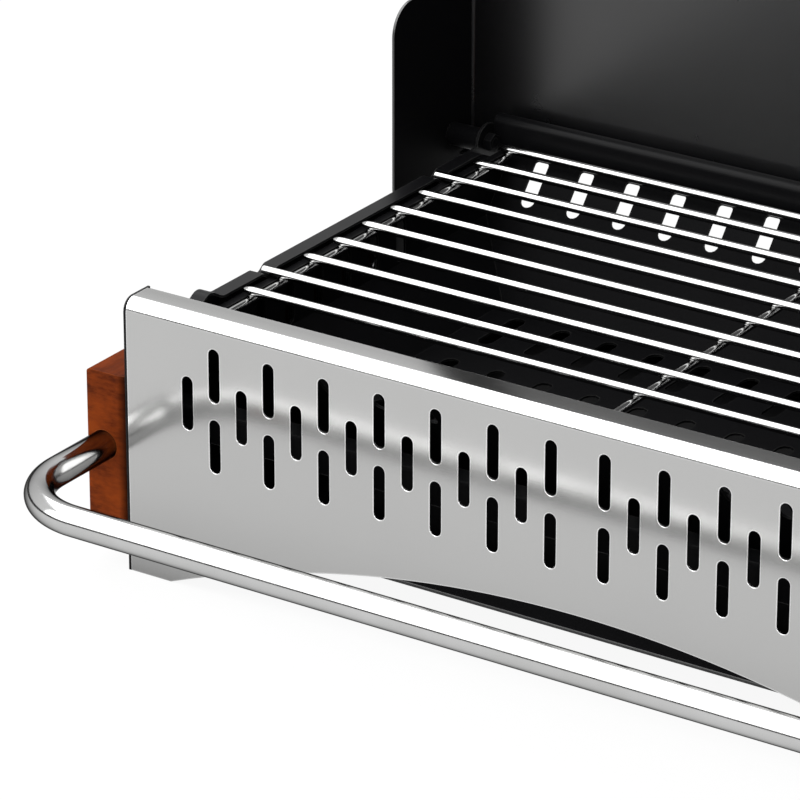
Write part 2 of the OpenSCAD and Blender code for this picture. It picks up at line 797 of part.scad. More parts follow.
// Pivot bolt: domed head outside the lid, shank through to the nut
washer_x = lid_x + seat_gap;
pivot_head_x = washer_x + washer_t;

module pivot_bolt(side) {
    length = pivot_head_x - half_w + nut_h + fit;
    color(bright_steel) handed(side) translate([pivot_head_x, pivot_y, pivot_z]) rotate([0, 90, 0])
        rotate_extrude() polygon(concat(
            [[0, -length], [pivot_d / 2, -length], [pivot_d / 2, 0], [head_r, 0]],
            arc([head_r - head_h * 0.8, head_h * 0.2], head_h * 0.8, 0, 90),
            [[0, head_h]]));
}

// Spacer that keeps the lid's wing off the side plate
module pivot_spacer(side) {
    color(bright_steel) handed(side) translate([0, pivot_y, pivot_z]) difference() {
        round_x(plate_x, lid_x - sheet - rest_gap, spacer_r);
        round_x(plate_x - over, lid_x + over, pivot_d / 2 + fit);
    }
}

// Nut on the pivot bolt, inside the side plate
module pivot_nut(side) {
    color(bright_steel) handed(side) translate([0, pivot_y, pivot_z]) difference() {
        translate([half_w - nut_h, 0, 0]) rotate([0, 90, 0])
            cylinder(h = nut_h, r = nut_flat / sqrt(3), $fn = 6);
        round_x(half_w - nut_h - over, half_w + over, pivot_d / 2 + fit);
    }
}

// Washers under the two pivot heads
module pivot_washers() {
    color(bright_steel) for (side = [-1, 1]) {
        handed(side) translate([0, pivot_y, pivot_z]) difference() {
            round_x(washer_x, washer_x + washer_t, washer_r);
            round_x(washer_x - over, washer_x + washer_t + over, pivot_d / 2 + fit);
        }
    }
}

front_panel();
side_plate(-1);  // left_side_plate
side_plate(1);  // right_side_plate
rear_rail();
front_cross_rail();
bowl_ledge(-1);  // left_bowl_ledge
bowl_ledge(1);  // right_bowl_ledge
tray_runner(-1);  // left_tray_runner
tray_runner(1);  // right_tray_runner
wood_block(-1);  // left_wood_block
wood_block(1);  // right_wood_block
block_screws();
handle_tube();
handle_pins();
charcoal_bowl();
ash_tray();
tray_side_rails();
ash_tray_pull();
pull_rivets();
grate_bars();
grate_long_bars();
grate_cross_wires();
lid_shell();
pivot_bolt(-1);  // left_pivot_bolt
pivot_bolt(1);  // right_pivot_bolt
pivot_spacer(-1);  // left_pivot_spacer
pivot_spacer(1);  // right_pivot_spacer
pivot_nut(-1);  // left_pivot_nut
pivot_nut(1);  // right_pivot_nut
pivot_washers();
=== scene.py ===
from math import cos, pi, radians, sin

import bmesh
import bpy
from mathutils import Matrix, Vector


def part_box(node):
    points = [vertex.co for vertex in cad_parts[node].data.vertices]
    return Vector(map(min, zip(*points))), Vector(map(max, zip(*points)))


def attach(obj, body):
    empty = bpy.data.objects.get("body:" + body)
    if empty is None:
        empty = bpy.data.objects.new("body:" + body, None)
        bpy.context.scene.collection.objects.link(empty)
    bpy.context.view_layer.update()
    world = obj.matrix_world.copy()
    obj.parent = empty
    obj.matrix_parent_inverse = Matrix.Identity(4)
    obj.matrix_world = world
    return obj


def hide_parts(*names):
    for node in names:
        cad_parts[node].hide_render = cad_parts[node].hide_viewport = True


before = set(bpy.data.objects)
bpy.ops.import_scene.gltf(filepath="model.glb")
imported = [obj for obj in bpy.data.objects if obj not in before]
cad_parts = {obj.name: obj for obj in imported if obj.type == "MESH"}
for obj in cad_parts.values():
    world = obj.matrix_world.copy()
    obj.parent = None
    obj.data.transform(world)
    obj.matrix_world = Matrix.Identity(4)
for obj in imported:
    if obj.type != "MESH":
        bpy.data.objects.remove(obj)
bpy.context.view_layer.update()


# Studio: a long lens looks down on the grill, which stands on a pale floor in a white
# surround. Soft boxes draw the white bands on the bright tube and bars. The floor that they
# mirror carries a painted shadow near the case, and a low dark band stands far round them.
lens_stand = Vector((0.9900, -1.7255, 0.9663))
lens_turn = radians(33.70)
lens_fall = radians(23.73)
lens_length = 233.0
lens_reach = 20.0
floor_radius = 9.0
floor_sides = 64
floor_tint = (0.9, 0.9, 0.9, 1)
floor_glow = 0.92
surround_fill = 0.27
shade_reach = 0.2
shade_levels = ((0.0, 0.45), (0.04, 0.58), (0.15, 0.78), (0.4, 0.92), (1.0, 1.0))
band_radius = 3.0
band_height = 0.45
band_sides = 96
white = (1, 1, 1, 1)
black = (0, 0, 0, 1)
boxes = {
    "overhead_box": (Vector((-0.7, -0.1, 2.0)), 3.2, 2.4, 3.1),
    "front_box": (Vector((-1.9, -2.2, 1.1)), 2.6, 2.0, 2.0),
    "camera_box": (Vector((1.28, -2.08, 0.91)), 0.85, 1.6, 3.6),
}


def add(tree, kind, inputs=(), **settings):
    """A shader node with its settings made and its named inputs set or linked."""
    node = tree.nodes.new("ShaderNode" + kind)
    for key, value in settings.items():
        setattr(node, key, value)
    for key, value in dict(inputs).items():
        if isinstance(value, bpy.types.NodeSocket):
            tree.links.new(value, node.inputs[key])
        else:
            node.inputs[key].default_value = value
    return node


def ramp(tree, fac, stops):
    """Colours along a mask, from (place, colour) pairs."""
    node = add(tree, "ValToRGB", {"Fac": fac})
    bar = node.color_ramp.elements
    bar[0].position, bar[0].color = stops[0]
    bar[1].position, bar[1].color = stops[-1]
    for place, colour in stops[1:-1]:
        bar.new(place).color = colour
    return node.outputs["Color"]


def seen_directly(tree):
    """One for rays of the camera and for those that metal or glass sends on, else zero."""
    light = add(tree, "LightPath")
    mirror = add(tree, "Math", {0: light.outputs["Is Glossy Ray"],
                                1: light.outputs["Is Transmission Ray"]}, operation="MAXIMUM")
    return add(tree, "Math", {0: light.outputs["Is Camera Ray"], 1: mirror.outputs[0]},
               operation="MAXIMUM").outputs[0]


lens = bpy.data.cameras.new("lens")
lens.lens = lens_length
lens.clip_end = lens_reach
camera = bpy.data.objects.new("camera", lens)
camera.location = lens_stand
camera.rotation_euler = (pi / 2 - lens_fall, 0, lens_turn)
bpy.context.scene.collection.objects.link(camera)
bpy.context.scene.camera = camera
bpy.context.scene.view_settings.view_transform = "Standard"

world = bpy.data.worlds.new("white surround")
world.use_nodes = True
bpy.context.scene.world = world
seen = seen_directly(world.node_tree)
surround = world.node_tree.nodes["Background"]
level = add(world.node_tree, "MapRange", {"Value": seen, "To Min": surround_fill,
                                          "To Max": 1.0})
world.node_tree.links.new(level.outputs[0], surround.inputs["Strength"])
surround.inputs["Color"].default_value = white

for name, (place, wide, high, brightness) in boxes.items():
    lamp = bpy.data.lights.new(name, "AREA")
    lamp.shape = "RECTANGLE"
    lamp.size = wide
    lamp.size_y = high
    lamp.energy = brightness * pi * wide * high
    box = bpy.data.objects.new(name, lamp)
    aim = place.to_track_quat("Z", "Y").to_matrix().to_4x4()
    box.matrix_world = Matrix.Translation(place) @ aim
    bpy.context.scene.collection.objects.link(box)

bm = bmesh.new()
bmesh.ops.create_circle(bm, cap_ends=True, radius=floor_radius, segments=floor_sides)
floor_mesh = bpy.data.meshes.new("floor")
bm.to_mesh(floor_mesh)
bm.free()
floor = bpy.data.objects.new("floor", floor_mesh)
bpy.context.scene.collection.objects.link(floor)
floor_paint = bpy.data.materials.new("pale floor")
floor_paint.use_nodes = True
tree = floor_paint.node_tree
tree.nodes.remove(tree.nodes["Principled BSDF"])
glow = add(tree, "Math", {0: seen_directly(tree), 1: floor_glow}, operation="MULTIPLY")
case_low, case_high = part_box("left_side_plate")[0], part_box("right_side_plate")[1]
case_middle = (case_low + case_high) / 2
case_half = (case_high - case_low) / 2
away = add(tree, "VectorMath", {0: add(tree, "TexCoord").outputs["Object"],
                                1: (case_middle.x, case_middle.y, 0)}, operation="SUBTRACT")
away = add(tree, "VectorMath", {0: away.outputs[0]}, operation="ABSOLUTE")
away = add(tree, "VectorMath", {0: away.outputs[0], 1: (case_half.x, case_half.y, 0)},
           operation="SUBTRACT")
away = add(tree, "VectorMath", {0: away.outputs[0], 1: (0, 0, 0)}, operation="MAXIMUM")
away = add(tree, "VectorMath", {0: away.outputs[0]}, operation="LENGTH")
away = add(tree, "Math", {0: away.outputs["Value"], 1: shade_reach}, operation="DIVIDE")
# painted shadow: the floor as the metal mirrors it is darker near the case
shade = ramp(tree, away.outputs[0], [(at, (grey, grey, grey, 1)) for at, grey in shade_levels])
to_camera = add(tree, "LightPath").outputs["Is Camera Ray"]
strength = add(tree, "Math", {0: shade, 1: to_camera}, operation="MAXIMUM").outputs[0]
mixed = add(tree, "MixShader", {
    0: glow.outputs[0],
    1: add(tree, "BsdfDiffuse", {"Color": floor_tint}).outputs[0],
    2: add(tree, "Emission", {"Color": white, "Strength": strength}).outputs[0]})
tree.links.new(mixed.outputs[0], tree.nodes["Material Output"].inputs["Surface"])
floor_mesh.materials.append(floor_paint)

bm = bmesh.new()
bmesh.ops.create_cone(bm, cap_ends=False, segments=band_sides, radius1=band_radius,
                      radius2=band_radius, depth=band_height,
                      matrix=Matrix.Translation((0, 0, band_height / 2)))
band_mesh = bpy.data.meshes.new("horizon_band")
bm.to_mesh(band_mesh)
bm.free()
band = bpy.data.objects.new("horizon_band", band_mesh)
bpy.context.scene.collection.objects.link(band)
band_cloth = bpy.data.materials.new("dark band")
band_cloth.use_nodes = True
band_cloth.node_tree.nodes["Principled BSDF"].inputs["Base Color"].default_value = black
band_mesh.materials.append(band_cloth)
band.visible_camera = band.visible_diffuse = False
band.visible_shadow = band.visible_transmission = False


# Case frame: two side plates with their rails and feet, the rear and front cross rails,
# the ledges under the bowl and the runners of the ash tray. All are cut and folded steel
# sheet with the cut edges broken, welded together and powder coated black.
sheet_edge = 0.00025
plate_edge = 0.0005
rail_edge = 0.0005
fold_angle = radians(38)
flat_angle = radians(0.5)
merge_gap = 1e-6
peel_depth = 0.0002
paint_black = (0.004, 0.004, 0.0045, 1)
# edge colour of the coats: paint wear, and a painted highlight along the edges
paint_wear_and_highlight = (0.06, 0.06, 0.058, 1)
# painted highlight along the front rail's edges
rail_edge_highlight = (0.45, 0.45, 0.44, 1)


def spread(tree, value, low, high, to_low, to_high):
    """The value's range from low to high drawn out to another range."""
    return add(tree, "MapRange", {"Value": value, "From Min": low, "From Max": high,
                                  "To Min": to_low, "To Max": to_high}).outputs["Result"]


def new_material(name):
    """A material with its node tree, its shader and the object's own coordinates."""
    material = bpy.data.materials.new(name)
    material.use_nodes = True
    tree = material.node_tree
    place = add(tree, "TexCoord").outputs["Object"]
    return material, tree, tree.nodes["Principled BSDF"], place


def new_group(name, inputs, outputs):
    """A shader group with its named number inputs and outputs."""
    group = bpy.data.node_groups.new(name, "ShaderNodeTree")
    for key, value in inputs.items():
        socket = group.interface.new_socket(key, in_out="INPUT", socket_type="NodeSocketFloat")
        socket.default_value = value
    for key in outputs:
        group.interface.new_socket(key, in_out="OUTPUT", socket_type="NodeSocketFloat")
    given = group.nodes.new("NodeGroupInput")
    result = group.nodes.new("NodeGroupOutput")
    return group, given.outputs, result.inputs


def use_group(tree, group, **values):
    """The group placed in a material with its own values."""
    node = tree.nodes.new("ShaderNodeGroup")
    node.node_tree = group
    for key, value in values.items():
        node.inputs[key.replace("_", " ").capitalize()].default_value = value
    return node.outputs


# Edge wear and painted edge highlight: the mask is one where the rounded normal leaves
# the true one, broken by noise
edge_wear_and_highlight, given, result = new_group("edge wear and highlight", {"Width": 0.001, "Patches": 60.0}, ["Mask"])
rounded = add(edge_wear_and_highlight, "Bevel", {"Radius": given["Width"]}, samples=4)
true_normal = add(edge_wear_and_highlight, "NewGeometry").outputs["Normal"]
lean = add(edge_wear_and_highlight, "VectorMath", {0: rounded.outputs["Normal"], 1: true_normal},
           operation="DOT_PRODUCT").outputs["Value"]
near_edge = spread(edge_wear_and_highlight, lean, 0.99, 0.75, 0.0, 1.0)
patches = add(edge_wear_and_highlight, "TexNoise", {"Vector": add(edge_wear_and_highlight, "TexCoord").outputs["Object"],
                                      "Scale": given["Patches"], "Detail": 3.0})
kept = spread(edge_wear_and_highlight, patches.outputs["Fac"], 0.35, 0.65, 0.25, 1.0)
worn_and_highlit = add(edge_wear_and_highlight, "Math", {0: near_edge, 1: kept}, operation="MULTIPLY")
edge_wear_and_highlight.links.new(worn_and_highlit.outputs[0], result["Mask"])

# Handling marks: broad soft clouds that change the gloss a little
soft_marks, given, result = new_group("handling marks", {"Size": 12.0, "Low": 0.2, "High": 0.3},
                                      ["Value"])
cloud = add(soft_marks, "TexNoise", {"Vector": add(soft_marks, "TexCoord").outputs["Object"],
                                     "Scale": given["Size"], "Detail": 4.0, "Roughness": 0.6})
drawn = add(soft_marks, "MapRange", {"Value": cloud.outputs["Fac"], "From Min": 0.3,
                                     "From Max": 0.7, "To Min": given["Low"],
                                     "To Max": given["High"]})
soft_marks.links.new(drawn.outputs["Result"], result["Value"])


def painted_steel(name, low, high, peel, sheen, wear_and_highlight_colour=paint_wear_and_highlight):
    """Black coating on steel: its gloss runs from low to high, with a fine orange peel."""
    material, tree, shader, place = new_material(name)
    worn_and_highlit = use_group(tree, edge_wear_and_highlight, width=0.0007, patches=90.0)["Mask"]
    gloss = use_group(tree, soft_marks, size=14.0, low=low, high=high)["Value"]
    # the edges take the given colour: wear, and a painted highlight along them
    tree.links.new(ramp(tree, worn_and_highlit, [(0.0, paint_black), (1.0, wear_and_highlight_colour)]),
                   shader.inputs["Base Color"])
    tree.links.new(gloss, shader.inputs["Roughness"])
    grain = add(tree, "TexNoise", {"Vector": place, "Scale": 900.0, "Detail": 2.0})
    bump = add(tree, "Bump", {"Height": grain.outputs["Fac"], "Strength": peel,
                              "Distance": peel_depth})
    tree.links.new(bump.outputs["Normal"], shader.inputs["Normal"])
    shader.inputs["Specular IOR Level"].default_value = sheen
    return material


def make_piece(name, bm, material, body, replaced):
    """The finished mesh as a piece of the grill that rides on its body."""
    bmesh.ops.recalc_face_normals(bm, faces=bm.faces)
    mesh = bpy.data.meshes.new(name)
    bm.to_mesh(mesh)
    bm.free()
    mesh.shade_smooth()
    mesh.set_sharp_from_angle(angle=fold_angle)
    mesh.materials.append(material)
    piece = bpy.data.objects.new(name, mesh)
    bpy.context.scene.collection.objects.link(piece)
    even = piece.modifiers.new("even shading", "WEIGHTED_NORMAL")
    even.keep_sharp = True
    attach(piece, body)
    if replaced:
        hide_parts(*replaced)
    return piece


def merged_copy(node):
    """A CAD node's mesh as a new bmesh, with its loose triangles joined to whole faces."""
    bm = bmesh.new()
    bm.from_mesh(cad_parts[node].data)
    bmesh.ops.remove_doubles(bm, verts=bm.verts, dist=merge_gap)
    bmesh.ops.dissolve_limit(bm, angle_limit=flat_angle, verts=bm.verts, edges=bm.edges)
    return bm


def break_edges(bm, width, angle=fold_angle, segments=2):
    """Rounds every edge that turns by more than the angle."""
    sharp = [e for e in bm.edges if len(e.link_faces) == 2 and e.calc_face_angle() > angle]
    bmesh.ops.bevel(bm, geom=sharp, offset=width, offset_type="OFFSET", affect="EDGES",
                    segments=segments, profile=0.5, material=-1, clamp_overlap=True)
    return bm


case_paint = painted_steel("black powder coat", low=0.28, high=0.38, peel=0.06, sheen=0.09)
for node in ("left_side_plate", "right_side_plate", "rear_rail", "left_bowl_ledge",
             "right_bowl_ledge", "left_tray_runner", "right_tray_runner"):
    make_piece(node + "_sheet", break_edges(merged_copy(node), plate_edge), case_paint,
               "case", [node])
# the front rail's edges carry a light painted highlight, seen through the slots
rail_paint = painted_steel("front rail coat", low=0.35, high=0.45, peel=0.06, sheen=0.04,
                           wear_and_highlight_colour=rail_edge_highlight)
make_piece("front_cross_rail_sheet", break_edges(merged_copy("front_cross_rail"), rail_edge),
           rail_paint, "case", ["front_cross_rail"])


# Front panel: one stainless sheet, satin polished, with three rows of punched slots and
# an arch below. Its top is bent back over the case. The slots' rims and the arch are
# rolled over, and a painted highlight on them and on the top bend gives each a bright outline.
rim_round = 0.0007
rim_steps = 3
rim_line = 0.0010
scratch_depth = 0.0001
satin_steel = (0.50, 0.50, 0.495, 1)
satin_dull = (0.46, 0.46, 0.455, 1)
satin_glance = (0.45, 0.45, 0.45, 1)
# near white colour of the painted highlight on the rims and bends
painted_rim_highlight = (0.95, 0.95, 0.95, 1)

stainless, tree, shader, place = new_material("satin stainless")
stroke = add(tree, "Mapping", {"Vector": place, "Scale": (6.0, 60.0, 700.0)})
brushed = add(tree, "TexNoise", {"Vector": stroke.outputs[0], "Scale": 3.0, "Detail": 3.0})
tone = use_group(tree, soft_marks, size=9.0, low=0.0, high=0.35)["Value"]
facing = add(tree, "SeparateXYZ", {0: add(tree, "NewGeometry").outputs["Normal"]}).outputs["Y"]
forward = add(tree, "Math", {0: facing}, operation="ABSOLUTE").outputs[0]
# painted highlight where the sheet leans away from the front: rims, arch and top bend
rolled = ramp(tree, forward, [(0.0, black), (0.15, white), (0.93, white), (0.995, black)])
blended = add(tree, "Bevel", {"Radius": rim_line}, samples=6).outputs["Normal"]
lean = add(tree, "VectorMath", {0: blended, 1: add(tree, "NewGeometry").outputs["Normal"]},
           operation="DOT_PRODUCT").outputs["Value"]
rim = add(tree, "Math", {0: rolled, 1: spread(tree, lean, 0.99, 0.93, 0.0, 1.0)},
          operation="MAXIMUM")
sheet_tone = ramp(tree, tone, [(0.0, satin_steel), (1.0, satin_dull)])
rim_tone = add(tree, "Mix", data_type="RGBA")
tree.links.new(rim.outputs[0], rim_tone.inputs["Factor"])
tree.links.new(sheet_tone, rim_tone.inputs["A"])
rim_tone.inputs["B"].default_value = painted_rim_highlight
tree.links.new(rim_tone.outputs["Result"], shader.inputs["Base Color"])
tree.links.new(use_group(tree, soft_marks, size=25.0, low=0.14, high=0.18)["Value"],
               shader.inputs["Roughness"])
bump = add(tree, "Bump", {"Height": brushed.outputs["Fac"], "Strength": 0.03,
                          "Distance": scratch_depth})
tree.links.new(bump.outputs["Normal"], shader.inputs["Normal"])
shader.inputs["Metallic"].default_value = 1.0
shader.inputs["Specular Tint"].default_value = satin_glance
make_piece("front_panel_sheet",
           break_edges(merged_copy("front_panel"), rim_round, segments=rim_steps),
           stainless, "case", ["front_panel"])


# Charcoal bowl: pressed from thin sheet with sloping ends and rows of slots for air, and
# fired with a dark enamel that is duller than the case's paint. It hangs by its rim on
# the ledges.
enamel = painted_steel("dark enamel", low=0.5, high=0.6, peel=0.04, sheen=0.035)
make_piece("charcoal_bowl_enamelled", break_edges(merged_copy("charcoal_bowl"), sheet_edge),
           enamel, "case", ["charcoal_bowl"])


# Ash tray: a folded pan with an angle spot welded on each side, whose rim slides in the
# runners, and a finger pull held on its back wall by two rivets. Pan, angles and pull are
# enamelled black, with a painted highlight on faces that lean downward. The rivets are bare.
bend_painted_highlight = (0.14, 0.14, 0.14, 1)
bend_painted_light = (0.05, 0.05, 0.05, 1)
tray_enamel, tree, shader, place = new_material("tray enamel")
fall = add(tree, "SeparateXYZ", {0: add(tree, "NewGeometry").outputs["Normal"]}).outputs["Z"]
down = add(tree, "Math", {0: fall, 1: -1.0}, operation="MULTIPLY").outputs[0]
# painted highlight: faces that lean downward get a light line, then grey
tree.links.new(ramp(tree, down, [(0.0, paint_black), (0.03, paint_black), (0.08, bend_painted_highlight),
                                 (0.2, bend_painted_highlight), (0.32, bend_painted_light), (0.97, bend_painted_light),
                                 (1.0, paint_black)]), shader.inputs["Base Color"])
tree.links.new(use_group(tree, soft_marks, size=14.0, low=0.4, high=0.5)["Value"],
               shader.inputs["Roughness"])
speckle = add(tree, "TexNoise", {"Vector": place, "Scale": 900.0, "Detail": 2.0})
bump = add(tree, "Bump", {"Height": speckle.outputs["Fac"], "Strength": 0.04,
                          "Distance": peel_depth})
tree.links.new(bump.outputs["Normal"], shader.inputs["Normal"])
shader.inputs["Specular IOR Level"].default_value = 0.03
for node in ("ash_tray", "tray_side_rails", "ash_tray_pull"):
    make_piece(node + "_enamelled", break_edges(merged_copy(node), sheet_edge), tray_enamel,
               "ash_drawer", [node])


# Wooden blocks: a hardwood block on each side, stained red brown and oiled, bored for
# the handle's arm. The grain runs from front to back, so the front shows end grain. Each
# block has painted shade where it meets the case, and its edges are lighter from rubbing
# and from a painted highlight.
wood_round = 0.0006
wood_angle = radians(50)
inner_round = 0.0042
round_steps = 8
grain_depth = 0.0002
rub_and_highlight_width = 0.0008
wood_red = (0.200, 0.036, 0.0050, 1)
wood_brown = (0.135, 0.024, 0.0045, 1)
wood_dark = (0.060, 0.011, 0.003, 1)
wood_painted_shade = (0.008, 0.002, 0.001, 1)
wood_rub_and_highlight = (0.33, 0.085, 0.022, 1)
painted_shade_width = 0.0045

wood, tree, shader, place = new_material("stained hardwood")
fibres = add(tree, "Mapping", {"Vector": place, "Scale": (0.35, 0.05, 1.0)})
dashes = add(tree, "TexNoise", {"Vector": fibres.outputs[0], "Scale": 520.0, "Detail": 3.0,
                                "Roughness": 0.6})
pores = add(tree, "TexNoise", {"Vector": fibres.outputs[0], "Scale": 1500.0, "Detail": 2.0})
clouds = add(tree, "TexNoise", {"Vector": place, "Scale": 60.0, "Detail": 5.0, "Roughness": 0.6,
                                "Distortion": 0.4})
bands = add(tree, "Mapping", {"Vector": place, "Scale": (0.5, 0.04, 1.0)})
growth = add(tree, "TexNoise", {"Vector": bands.outputs[0], "Scale": 110.0, "Detail": 2.0})
figure = add(tree, "Math", {0: clouds.outputs["Fac"], 1: 0.55,
                            2: spread(tree, growth.outputs["Fac"], 0.3, 0.7, 0.0, 0.3)},
             operation="MULTIPLY_ADD")
speck = add(tree, "Math", {0: spread(tree, dashes.outputs["Fac"], 0.35, 0.65, -0.06, 0.10),
                           1: figure.outputs[0]}, operation="ADD")
tone = spread(tree, speck.outputs[0], 0.22, 0.68, 0.0, 1.0)
stained = ramp(tree, tone, [(0.0, wood_dark), (0.4, wood_brown), (0.9, wood_red)])
across = add(tree, "Math", {0: add(tree, "SeparateXYZ", {0: place}).outputs["X"]},
             operation="ABSOLUTE").outputs[0]
inner_face = min(abs(corner.x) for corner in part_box("left_wood_block"))
# painted shade, darkest at the face that meets the case
painted_contact_shade = spread(tree, across, inner_face, inner_face + painted_shade_width, 1.0, 0.0)
painted_shaded = add(tree, "Mix", {"Factor": painted_contact_shade}, data_type="RGBA")
tree.links.new(stained, painted_shaded.inputs["A"])
painted_shaded.inputs["B"].default_value = wood_painted_shade
# edges lighter from rubbing and from a painted highlight
rub_and_highlight = use_group(tree, edge_wear_and_highlight, width=rub_and_highlight_width, patches=120.0)["Mask"]
rubbed_and_highlit = add(tree, "Mix", {"Factor": rub_and_highlight}, data_type="RGBA")
tree.links.new(painted_shaded.outputs["Result"], rubbed_and_highlit.inputs["A"])
rubbed_and_highlit.inputs["B"].default_value = wood_rub_and_highlight
tree.links.new(rubbed_and_highlit.outputs["Result"], shader.inputs["Base Color"])
tree.links.new(spread(tree, pores.outputs["Fac"], 0.3, 0.7, 0.42, 0.55),
               shader.inputs["Roughness"])
bump = add(tree, "Bump", {"Height": dashes.outputs["Fac"], "Strength": 0.12,
                          "Distance": grain_depth})
tree.links.new(bump.outputs["Normal"], shader.inputs["Normal"])
shader.inputs["Specular IOR Level"].default_value = 0.02
for node in ("left_wood_block", "right_wood_block"):
    bm = merged_copy(node)
    block_low, block_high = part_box(node)
    inner_x = min(block_low.x, block_high.x, key=abs)
    side = 1 if inner_x > 0 else -1
    middle = Vector((inner_x + side * inner_round, block_low.y + inner_round, 0))
    for step in range(1, round_steps):
        turn = step * pi / 2 / round_steps
        outward = Vector((-side * cos(turn), -sin(turn), 0))
        cut = bmesh.ops.bisect_plane(bm, geom=bm.verts[:] + bm.edges[:] + bm.faces[:],
                                     plane_co=middle + inner_round * outward, plane_no=outward,
                                     clear_outer=True)["geom_cut"]
        rim_edges = [e for e in cut if isinstance(e, bmesh.types.BMEdge)]
        bmesh.ops.contextual_create(bm, geom=rim_edges)
    make_piece(node + "_oiled", break_edges(bm, wood_round, wood_angle), wood,
               "case", [node])


# Handle: one steel tube, bent round at both ends into arms that go deep into the wooden
# blocks, polished bright. The tube's open ends lie inside the blocks.
tube_low, tube_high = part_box("handle_tube")
tube_radius = (tube_high.z - tube_low.z) / 2
tube_wall = 0.0015
tube_bend = 0.036
tube_sides = 64
bend_steps = 24
bright_tone = (0.56, 0.56, 0.56, 1)
bright_dull = (0.50, 0.50, 0.495, 1)
bright_glance = (0.05, 0.05, 0.05, 1)


def bright_metal(name, tone, dull, low, high, scratch):
    """Polished steel: its gloss runs from low to high, with fine drawn scratches."""
    material, tree, shader, place = new_material(name)
    shade = use_group(tree, soft_marks, size=30.0, low=0.0, high=1.0)["Value"]
    tree.links.new(ramp(tree, shade, [(0.0, tone), (1.0, dull)]), shader.inputs["Base Color"])
    tree.links.new(use_group(tree, soft_marks, size=50.0, low=low, high=high)["Value"],
                   shader.inputs["Roughness"])
    grain = add(tree, "TexNoise", {"Vector": place, "Scale": 400.0, "Detail": 2.0})
    bump = add(tree, "Bump", {"Height": grain.outputs["Fac"], "Strength": scratch,
                              "Distance": scratch_depth})
    tree.links.new(bump.outputs["Normal"], shader.inputs["Normal"])
    shader.inputs["Metallic"].default_value = 1.0
    shader.inputs["Specular Tint"].default_value = bright_glance
    return material


chrome = bright_metal("polished steel", bright_tone, bright_dull, low=0.10, high=0.14,
                      scratch=0.02)
tube_x = tube_high.x - tube_radius
tube_y = tube_low.y + tube_radius
tube_z = (tube_low.z + tube_high.z) / 2
bend_centre = Vector((tube_x - tube_bend, tube_y + tube_bend, tube_z))
bm = bmesh.new()
ring = bmesh.ops.create_circle(bm, segments=tube_sides, radius=tube_radius)["verts"]
bmesh.ops.rotate(bm, verts=ring, cent=(0, 0, 0), matrix=Matrix.Rotation(pi / 2, 3, "X"))
bmesh.ops.translate(bm, verts=ring, vec=(tube_x, tube_high.y, tube_z))
arm = bmesh.ops.extrude_edge_only(bm, edges=bm.edges[:])["geom"]
arm_end = [v for v in arm if isinstance(v, bmesh.types.BMVert)]
bmesh.ops.translate(bm, verts=arm_end, vec=(0, bend_centre.y - tube_high.y, 0))
loop = [e for e in arm if isinstance(e, bmesh.types.BMEdge)
        and all(v in arm_end for v in e.verts)]
turned = bmesh.ops.spin(bm, geom=loop, cent=bend_centre, axis=(0, 0, 1), angle=-pi / 2,
                        steps=bend_steps)["geom_last"]
loop = [e for e in turned if isinstance(e, bmesh.types.BMEdge)]
last = bmesh.ops.extrude_edge_only(bm, edges=loop)["geom"]
middle = [v for v in last if isinstance(v, bmesh.types.BMVert)]
bmesh.ops.translate(bm, verts=middle, vec=(-bend_centre.x, 0, 0))
bmesh.ops.mirror(bm, geom=bm.verts[:] + bm.edges[:] + bm.faces[:], axis="X",
                 merge_dist=merge_gap)
bmesh.ops.remove_doubles(bm, verts=bm.verts, dist=merge_gap)
tube = make_piece("handle_tube_polished", bm, chrome, "case", ["handle_tube"])
wall = tube.modifiers.new("tube wall", "SOLIDIFY")
wall.thickness = tube_wall
wall.offset = -1


# Grate: nine short bars and two long ones that rest in the dips of the rails, all welded
# to three cross wires underneath. All are bright drawn steel with their cut ends rounded
# over, those of the short bars to a long taper, and each crossing has its small weld.
rod_sides = 20
tip_steps = 6
tip_share = 0.7
taper_share = 2.8
bar_count = 11
long_bars = (2, 8)
middle_wire_x = -0.018
weld_width = 0.0030
weld_height = 0.0016


def add_rod(bm, start, end, radius, tip):
    """A wire between two points, its ends rounded over on the given length."""
    length = (end - start).length
    quarter = [i * pi / 2 / tip_steps for i in range(tip_steps + 1)]
    outline = [(radius * sin(a), tip * (1 - cos(a))) for a in quarter]
    outline += [(r, length - z) for r, z in reversed(outline)]
    others = set(bm.verts)
    verts = [bm.verts.new((r, 0, z)) for r, z in outline]
    edges = [bm.edges.new(pair) for pair in zip(verts, verts[1:])]
    bmesh.ops.spin(bm, geom=verts + edges, cent=(0, 0, 0), axis=(0, 0, 1), angle=2 * pi,
                   steps=rod_sides, use_merge=True)
    made = [v for v in bm.verts if v not in others]
    turn = (end - start).to_track_quat("Z", "Y").to_matrix()
    bmesh.ops.rotate(bm, verts=made, cent=(0, 0, 0), matrix=turn)
    bmesh.ops.translate(bm, verts=made, vec=start)


